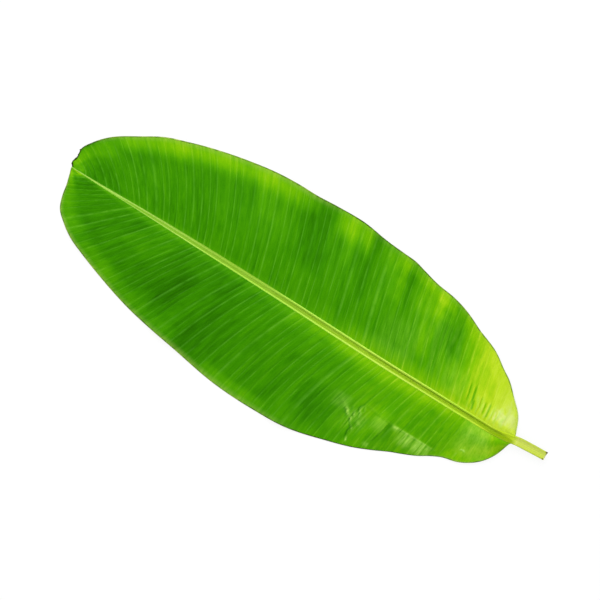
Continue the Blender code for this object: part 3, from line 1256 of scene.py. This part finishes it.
@dataclass
class MarginThread:
    """The thin dry thread along the edge of one half.

    It swells between two stations, and is thicker, lumpy and more strongly mottled from there to the tip.
    Where the two lie beyond the tip it stays slim. They are in millimetres, as are the distances after
    which its roughness, lumps and mottle change. Mottle has a value for the slim part, then the swollen.
    """

    blade: BladeHalf
    dry_levels: Points
    columns: int = 1100
    around: int = 8
    radius: float = 0.75 * MM
    sink: float = 0.15 * MM
    roughness: float = 0.22
    rough_every: float = 2.3
    mottle: Pair = (0.15, 0.40)
    mottle_every: Pair = (5, 2.5)
    swollen: Pair = (2000, 2001)
    swelling: float = 0.35
    lumps: float = 0.5
    lump_every: float = 0.9
    sharp_angle: float = 80

    def build(self, name: str, material: bpy.types.Material) -> bpy.types.Object:
        """Makes a slim uneven tube that follows the blade's edge."""
        shape, sign = self.blade.shape, self.blade.sign
        bm = bmesh.new()
        first, second = grid_shares(bm, self.columns, self.around)
        x = np.linspace(0, 1, self.columns + 1) * shape.blade_length
        station = x / MM
        edge_x, edge_y, edge_z, _ = self.blade.surface(x, np.ones(len(x)))
        ways = np.column_stack([np.gradient(edge_x), np.gradient(edge_y)])
        ways /= np.linalg.norm(ways, axis=1)[:, None]
        grain = Grain(self.blade.half.seed + 50)
        swollen = soft_step(station, *self.swollen)
        rough = self.roughness * grain.at(station / self.rough_every)
        radius = self.radius * (1 + rough + self.swelling * swollen)
        radius *= 1 + self.lumps * swollen * grain.at(station / self.lump_every + 300)
        number = np.round(first * self.columns).astype(int)
        turn = second * 2 * math.pi
        inward = radius[number] * (np.cos(turn) - 1)
        place_x = edge_x[number] - sign * ways[number, 1] * inward
        place_y = edge_y[number] + sign * ways[number, 0] * inward
        middle = np.maximum(edge_z - self.sink, radius)
        place_z = middle[number] + radius[number] * np.sin(turn)
        mottle, every = (np.interp(swollen, (0, 1), ends) for ends in (self.mottle, self.mottle_every))
        dryness = np.interp(station, *zip(*self.dry_levels)) + mottle * grain.at(station / every + 600)
        mark_verts(bm, "dry", dryness[number], first, second)
        move_verts(bm, *shape.placed(place_x, place_y), place_z)
        bmesh.ops.remove_doubles(bm, verts=bm.verts, dist=MERGE_DISTANCE)
        bmesh.ops.holes_fill(bm, edges=[edge for edge in bm.edges if edge.is_boundary])
        bmesh.ops.recalc_face_normals(bm, faces=bm.faces)
        return add_piece(bm, name, material, self.sharp_angle)


@dataclass(frozen=True)
class Nub:
    """A dried crumb of tissue on the tip's edge: its place in plan and its half sizes, in millimetres."""

    x: float
    y: float
    length: float
    width: float
    turn: float


@dataclass
class DriedTip:
    """The black nubs where the tip of the blade has dried and frayed."""

    shape: LeafShape
    nubs: tuple[Nub, ...] = (
        Nub(803.3, -5.2, 1.7, 1.1, 100),
        Nub(802.4, -14.4, 2.1, 1.3, 75),
        Nub(803.0, -30.0, 1.8, 1.3, 50),
        Nub(802.4, -22.0, 1.3, 0.7, 95),
    )
    height: float = 0.9 * MM
    lift: float = 0.75 * MM
    lump: float = 0.35
    lump_pace: float = 3
    detail: int = 4
    dryness: float = 0.9
    seed: int = 9
    sharp_angle: float = 80

    def build(self, name: str, material: bpy.types.Material) -> bpy.types.Object:
        """Makes the nubs as lumpy grains in one mesh."""
        bm = bmesh.new()
        layer = bm.verts.layers.float_vector.new("dry")
        grains = [Grain(self.seed + number) for number in range(3)]
        for nub in self.nubs:
            made = bmesh.ops.create_icosphere(bm, subdivisions=self.detail, radius=1.0)["verts"]
            angle = math.radians(nub.turn)
            for vert in made:
                co = np.array(vert.co)
                noises = [grain.at(value * self.lump_pace + nub.x) for grain, value in zip(grains, co)]
                co *= 1 + self.lump * sum(noises) / len(noises)
                along, over = co[0] * nub.length, co[1] * nub.width
                x, y = self.shape.placed(
                    (nub.x + along * math.cos(angle) - over * math.sin(angle)) * MM,
                    (nub.y + along * math.sin(angle) + over * math.cos(angle)) * MM,
                )
                vert.co = (x, y, self.height + self.lift + co[2] * self.height)
                vert[layer] = (self.dryness, 0.0, 0.0)
        bmesh.ops.recalc_face_normals(bm, faces=bm.faces)
        return add_piece(bm, name, material, self.sharp_angle)


class LightSize(Enum):
    """The two sizes of soft light in the studio, in metres."""

    LARGE = 2.4
    WIDE = 3.2


@dataclass(frozen=True)
class SoftLight:
    """A large soft light that points at the leaf from a bearing and a height, both in degrees."""

    bearing: float
    height: float
    power: float
    size: LightSize = LightSize.LARGE
    distance: float = 2.6

    def build(self, name: str) -> None:
        """Hangs the light."""
        data = bpy.data.lights.new(name, "AREA")
        data.energy = self.power
        data.size = self.size.value
        light = add_object(name, data)
        bearing, height = math.radians(self.bearing), math.radians(self.height)
        light.location = (
            self.distance * math.cos(height) * math.cos(bearing),
            self.distance * math.cos(height) * math.sin(bearing),
            self.distance * math.sin(height),
        )
        light.rotation_euler = (math.pi / 2 - height, 0, bearing + math.pi / 2)
        light.visible_camera = False


@dataclass
class Studio:
    """A floor that glows a little, a soft surround, soft lights, and a camera that looks straight down.

    Lengths are in metres, except the lens and the sensor, which are in millimetres.
    """

    floor_size: float = 14.0
    floor_drop: float = 0.3 * MM
    floor_tone: float = 0.1
    floor_glow: float = 0.88
    floor_roughness: float = 0.9
    floor_gloss: float = 0.1
    surround_low: float = 1.0
    surround_high: float = 0.1
    lights: tuple[tuple[str, SoftLight], ...] = (
        ("key_light", SoftLight(-58.5, 48, 78)),
        ("fill_light", SoftLight(118, 52, 25)),
        ("stalk_light", SoftLight(180, 40, 10, LightSize.WIDE)),
        ("tip_light", SoftLight(10, 40, 10, LightSize.WIDE)),
    )
    photo_width: float = 0.9256
    lens: float = 85.0
    sensor: float = 36.0
    view_middle: Pair = (0.0177, -0.0137)
    view_turn: float = -148.36
    leaf_height: float = 0.008

    def build(self) -> None:
        """Sets up the whole studio."""
        self.build_floor()
        self.build_surround()
        for name, light in self.lights:
            light.build(name)
        self.build_camera()
        bpy.context.scene.view_settings.view_transform = "Standard"

    def build_floor(self) -> None:
        """Lays the floor just under the leaf."""
        bm = bmesh.new()
        bmesh.ops.create_grid(bm, x_segments=1, y_segments=1, size=self.floor_size / 2)
        bmesh.ops.translate(bm, verts=bm.verts, vec=(0, 0, -self.floor_drop))
        graph = Graph(bpy.data.materials.new("floor_paint"))
        tone = self.floor_tone
        graph.set(
            Base_Color=(tone, tone, tone, 1),
            Roughness=self.floor_roughness,
            Specular_IOR_Level=self.floor_gloss,
            Emission_Color=(1, 1, 1, 1),
            Emission_Strength=self.floor_glow,
        )
        floor = add_object("floor", finish_mesh(bm, "floor", graph.owner))

    def build_surround(self) -> None:
        """Lights the room from all around, brighter low down than overhead."""
        world = bpy.data.worlds.new("surround")
        bpy.context.scene.world = world
        graph = Graph(world, "Background")
        place = graph.node("ShaderNodeTexCoord", {}, {}, "Generated")
        height = graph.node("ShaderNodeSeparateXYZ", {}, {0: place}, "Z")
        low, high = (self.surround_low,) * 3, (self.surround_high,) * 3
        graph.set(Color=graph.ramp(height, ((0.0, low), (1.0, high))))

    def build_camera(self) -> None:
        """Hangs the camera over the leaf, turned as the photograph is."""
        data = bpy.data.cameras.new("camera")
        data.lens = self.lens
        data.sensor_width = self.sensor
        camera = add_object("camera", data)
        distance = self.photo_width * self.lens / self.sensor
        camera.location = (*self.view_middle, self.leaf_height + distance)
        camera.rotation_euler = (0, 0, math.radians(self.view_turn))
        bpy.context.scene.camera = camera


# How the two halves are coloured. LEVELS say how light the skin is at each station, from 0 to 1. The zone
# tables say where it differs from that, by its own tone and by painted light and shade of the swells and
# folds.
# The sheen tables say where painted sheen lies. RIM and DRYNESS say, at each station, how pale the blade's
# rim is and how dry the thread along its margin.
LEFT_LEVELS = (
    (0, 0.62), (60, 0.60), (130, 0.57), (220, 0.55), (300, 0.47), (430, 0.455), (480, 0.43), (700, 0.43),
    (801, 0.53),
)
# Tone, and painted light and shade of the swells and folds.
LEFT_TONE_AND_SHADE = (
    Zone((-1, 0, 60, 84), (0.25, 0.7, 2, 3), 0.07),
    Zone((-1, 0, 40, 90), (-1, 0, 0.6, 1.0), 0.045),
    Zone((18, 30, 64, 90), (-1, 0, 0.1, 0.3), 0.06),
    Zone((60, 120, 280, 420), (-1, 0, 0.03, 0.20), 0.11),
    Zone((200, 300, 560, 700), (-1, 0, 0.02, 0.10), 0.06),
    Zone((560, 640, 730, 770), (-1, 0, 0.04, 0.14), 0.07),
    Zone((116, 130, 146, 160), (0.25, 0.35, 0.55, 0.62), -0.025),
    Zone((156, 168, 196, 208), (0.35, 0.48, 0.54, 0.64), 0.05),
    Zone((96, 100, 166, 172), (74, 78, 86, 104), 0.04, ZoneAxes.PLAN),
    Zone((175, 179, 188, 200), (74, 82, 94, 112), 0.05, ZoneAxes.PLAN),
    Zone((160, 166, 173, 178), (79, 82, 100, 118), -0.05, ZoneAxes.PLAN),
    Zone((202, 224, 240, 262), (0.50, 0.74, 0.88, 1.0), -0.04),
    Zone((186, 198, 216, 228), (0.78, 0.9, 2, 3), -0.05),
    Zone((258, 268, 284, 296), (0.38, 0.48, 0.68, 0.8), -0.045),
    Zone((310, 317, 333, 341), (0.08, 0.14, 0.26, 0.34), 0.05),
    Zone((365, 372, 385, 395), (-1, 0, 0.10, 0.18), 0.05),
    Zone((556, 596, 626, 646), (0.05, 0.15, 0.42, 0.55), 0.045),
    Zone((221, 237, 253, 286), (0.36, 0.55, 0.80, 0.95), -0.045),
    Zone((297, 333, 396, 427), (0.84, 0.92, 2, 3), 0.09),
    Zone((389, 434, 460, 468), (0.3, 0.6, 0.9, 1.0), -0.04),
    Zone((446, 458, 474, 488), (0.1, 0.2, 0.4, 0.6), -0.02),
    Zone((503, 519, 543, 559), (0.2, 0.35, 0.65, 0.8), -0.045),
    Zone((446, 495, 584, 626), (0.78, 0.92, 2, 3), 0.05),
    Zone((565, 605, 636, 662), (0.74, 0.9, 2, 3), 0.09),
    Zone((637, 688, 900, 901), (0.68, 0.88, 2, 3), 0.10),
    Zone((735, 750, 768, 784), (0.1, 0.3, 0.75, 0.9), -0.055),
    Zone((772, 782, 900, 901), (0.35, 0.5, 0.9, 1.0), 0.06),
    Zone((705, 735, 760, 780), (0.02, 0.14, 0.5, 0.7), -0.025),
    Zone((770, 785, 900, 901), (-1, 0, 0.15, 0.5), 0.16),
)
# Painted sheen where the blade would reflect the light.
LEFT_PAINTED_SHEEN = (
    Zone((98, 108, 138, 164), (78, 80, 89, 103), 0.13, ZoneAxes.PLAN),
    Zone((24, 42, 62, 84), (8, 13, 22, 38), 0.24, ZoneAxes.PLAN),
    Zone((12, 26, 62, 84), (22, 34, 52, 70), 0.15, ZoneAxes.PLAN),
    Zone((178, 182, 192, 206), (78, 81, 92, 106), 0.17, ZoneAxes.PLAN),
    Zone((184, 187, 191, 197), (121, 125, 128, 132), 0.26, ZoneAxes.PLAN),
    Zone((238, 248, 260, 278), (72, 80, 92, 104), 0.13, ZoneAxes.PLAN),
    Zone((200, 212, 228, 240), (86, 96, 104, 116), 0.08, ZoneAxes.PLAN),
)
LEFT_RIM = (
    (0, 1.0), (86, 0.6), (114, 0), (245, 0), (300, 0.6), (447, 0.8), (513, 0.6), (616, 0.7), (801, 1.0),
)
LEFT_DRYNESS = (
    (0, 0.12), (60, 0.26), (94, 0.5), (128, 0.66), (234, 0.66), (288, 0.42), (357, 0.26), (427, 0.22),
    (494, 0.38), (590, 0.22), (700, 0.3), (801, 0.2),
)
RIGHT_LEVELS = (
    (0, 0.90), (64, 0.84), (114, 0.69), (151, 0.54), (205, 0.52), (300, 0.48), (700, 0.46), (801, 0.52),
)
# Tone, and painted light and shade of the swells and folds.
RIGHT_TONE_AND_SHADE = (
    Zone((2, 20, 40, 58), (4, 13, 20, 40), 0.10, ZoneAxes.PLAN),
    Zone((-1, 0, 28, 48), (0.45, 0.65, 2, 3), 0.04),
    Zone((46, 58, 76, 91), (0.35, 0.45, 0.65, 0.78), -0.04),
    Zone((71, 83, 97, 118), (-0.1, 0.08, 0.26, 0.45), -0.05),
    Zone((166, 174, 188, 196), (0.18, 0.3, 0.54, 0.64), 0.06),
    Zone((177, 192, 245, 260), (0.84, 0.93, 2, 3), 0.06),
    Zone((224, 235, 260, 269), (0.5, 0.6, 0.72, 0.8), 0.055),
    Zone((138, 148, 171, 180), (0.68, 0.76, 0.86, 0.95), 0.055),
    Zone((585, 600, 626, 644), (0.72, 0.84, 2, 3), 0.05),
    Zone((329, 337, 345, 355), (0.5, 0.62, 2, 3), 0.04),
    Zone((60, 90, 720, 780), (-1, 0, 0.01, 0.07), 0.04),
    Zone((460, 470, 484, 498), (0.5, 0.62, 2, 3), 0.05),
    Zone((90, 150, 260, 420), (-1, 0, 0.05, 0.20), 0.09),
    Zone((86, 108, 134, 150), (0.25, 0.5, 0.72, 0.9), -0.06),
    Zone((116, 124, 142, 165), (0.35, 0.55, 0.85, 0.97), -0.065),
    Zone((156, 166, 197, 216), (0.55, 0.72, 2, 3), 0.08),
    Zone((143, 153, 173, 186), (0.80, 0.92, 2, 3), 0.10),
    Zone((215, 223, 233, 243), (0.45, 0.65, 0.85, 0.95), -0.05),
    Zone((230, 242, 263, 292), (0.6, 0.88, 2, 3), 0.09),
    Zone((288, 296, 305, 313), (0.25, 0.45, 1.0, 1.1), -0.05),
    Zone((297, 310, 357, 373), (0.68, 0.88, 2, 3), 0.15),
    Zone((366, 382, 408, 434), (0.25, 0.45, 0.85, 0.97), -0.05),
    Zone((406, 436, 672, 711), (0.74, 0.93, 2, 3), 0.15),
    Zone((440, 448, 460, 474), (0.3, 0.55, 0.9, 1.0), 0.04),
    Zone((482, 504, 602, 631), (0.80, 0.92, 2, 3), 0.03),
    Zone((392, 402, 417, 427), (0.78, 0.9, 2, 3), 0.06),
    Zone((700, 730, 765, 785), (-1, 0.02, 0.45, 0.75), -0.06),
    Zone((690, 710, 780, 800), (0.66, 0.8, 0.92, 1.0), 0.075),
    Zone((765, 785, 900, 901), (0.1, 0.3, 2, 3), 0.05),
)
# Painted sheen where the blade would reflect the light.
RIGHT_PAINTED_SHEEN = (
    Zone((98, 110, 128, 146), (8, 14, 34, 56), 0.06, ZoneAxes.PLAN),
    Zone((190, 212, 250, 285), (6, 9, 18, 34), 0.04, ZoneAxes.PLAN),
    Zone((196, 216, 250, 280), (14, 24, 50, 80), 0.04, ZoneAxes.PLAN),
    Zone((10, 26, 44, 60), (6, 13, 18, 34), 0.05, ZoneAxes.PLAN),
    Zone((-1, 4, 26, 44), (0.45, 0.65, 2, 3), 0.06),
)
RIGHT_RIM = ((0, 0.2), (136, 0.4), (357, 0.3), (416, 0.8), (700, 0.6), (740, 0.1), (801, 0.3))
RIGHT_DRYNESS = (
    (0, -0.2), (16, -0.1), (36, 0.06), (76, 0.1), (126, 0.24), (248, 0.3), (337, 0.42), (387, 0.26),
    (600, 0.16), (690, 0.16), (725, 0.36), (755, 0.56), (772, 0.8), (801, 0.8),
)


def main() -> None:
    """Builds the leaf and the studio, and reports each piece."""
    logging.basicConfig(level=logging.INFO, format="%(message)s")
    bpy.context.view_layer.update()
    shape = LeafShape()
    shape.place_on(*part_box(NODE))
    blade_skin, rib_skin, dry_skin, pith_skin = BladeSkin(), RibSkin(), DrySkin(), PithSkin()
    left = BladeHalf(
        shape, LEFT_HALF, LEFT_LEVELS, LEFT_TONE_AND_SHADE, LEFT_PAINTED_SHEEN, LEFT_RIM,
        column_run=((0, 0), (0.1, 88), (0.46, 270), (1, 801)), row_run=((0, 0), (0.36, 0.42), (1, 1)),
    )
    right = BladeHalf(
        shape, RIGHT_HALF, RIGHT_LEVELS, RIGHT_TONE_AND_SHADE, RIGHT_PAINTED_SHEEN, RIGHT_RIM,
        column_run=((0, 0), (0.2, 130), (1, 801)), row_run=((0, 0), (0.36, 0.3), (1, 1)),
    )
    green = blade_skin.make("blade_skin")
    dry = dry_skin.make("dry_skin")
    for name, blade in (("blade_left", left), ("blade_right", right)):
        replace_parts(blade.build(name, green), NODE)
    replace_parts(Midrib(shape).build("midrib_and_stalk", rib_skin.make("rib_skin")), NODE)
    CutFace(shape).build("stalk_cut_face", pith_skin.make("pith_skin"))
    MarginThread(left, LEFT_DRYNESS).build("margin_left", dry)
    MarginThread(right, RIGHT_DRYNESS, swollen=(740, 770)).build("margin_right", dry)
    DriedTip(shape).build("dried_tip", dry)
    Studio().build()


if __name__ == "__main__":
    main()
